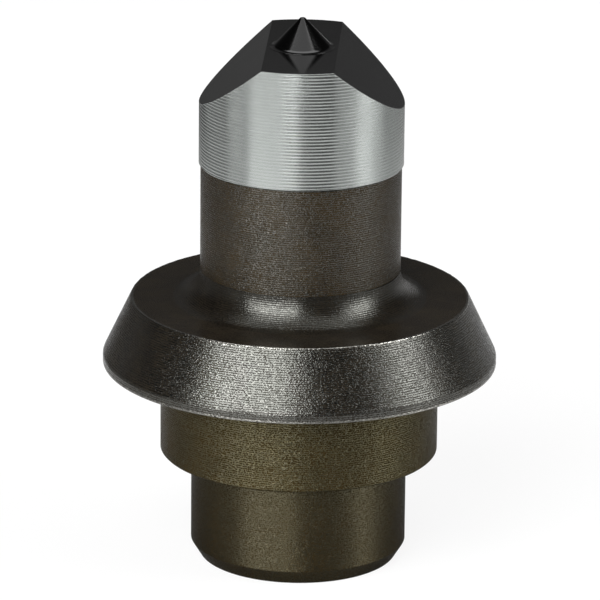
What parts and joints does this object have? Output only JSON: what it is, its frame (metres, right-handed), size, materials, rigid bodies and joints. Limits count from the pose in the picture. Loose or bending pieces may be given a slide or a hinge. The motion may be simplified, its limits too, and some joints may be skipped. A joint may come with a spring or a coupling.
{
  "type": "round hole punch",
  "caption": "Round roof-topped punch with a centre point, conical seating flange, collar and locating spigot, for a hydraulic hole puncher.",
  "frame": {"origin": "middle of the flat end face of the locating spigot, on the punch's axis", "axes": "+Z along the axis towards the cutting head, Y along the flat ridge of the roof, X across the two slopes"},
  "size_m": [0.0386, 0.0386, 0.0547],
  "materials": {
    "oxide_steel": "hardened tool steel with a thin brown-black oxide over fine turning marks",
    "ground_steel": "bright turned land with a black oxide roof",
    "point_steel": "glossy black oxide over fine turning marks"
  },
  "bodies": {
    "root": {"locating_spigot": "oxide_steel", "shoulder_collar": "oxide_steel", "seating_flange": "oxide_steel", "neck": "oxide_steel", "cutting_head": "ground_steel", "centre_point": "point_steel"}
  },
  "joints": []
}
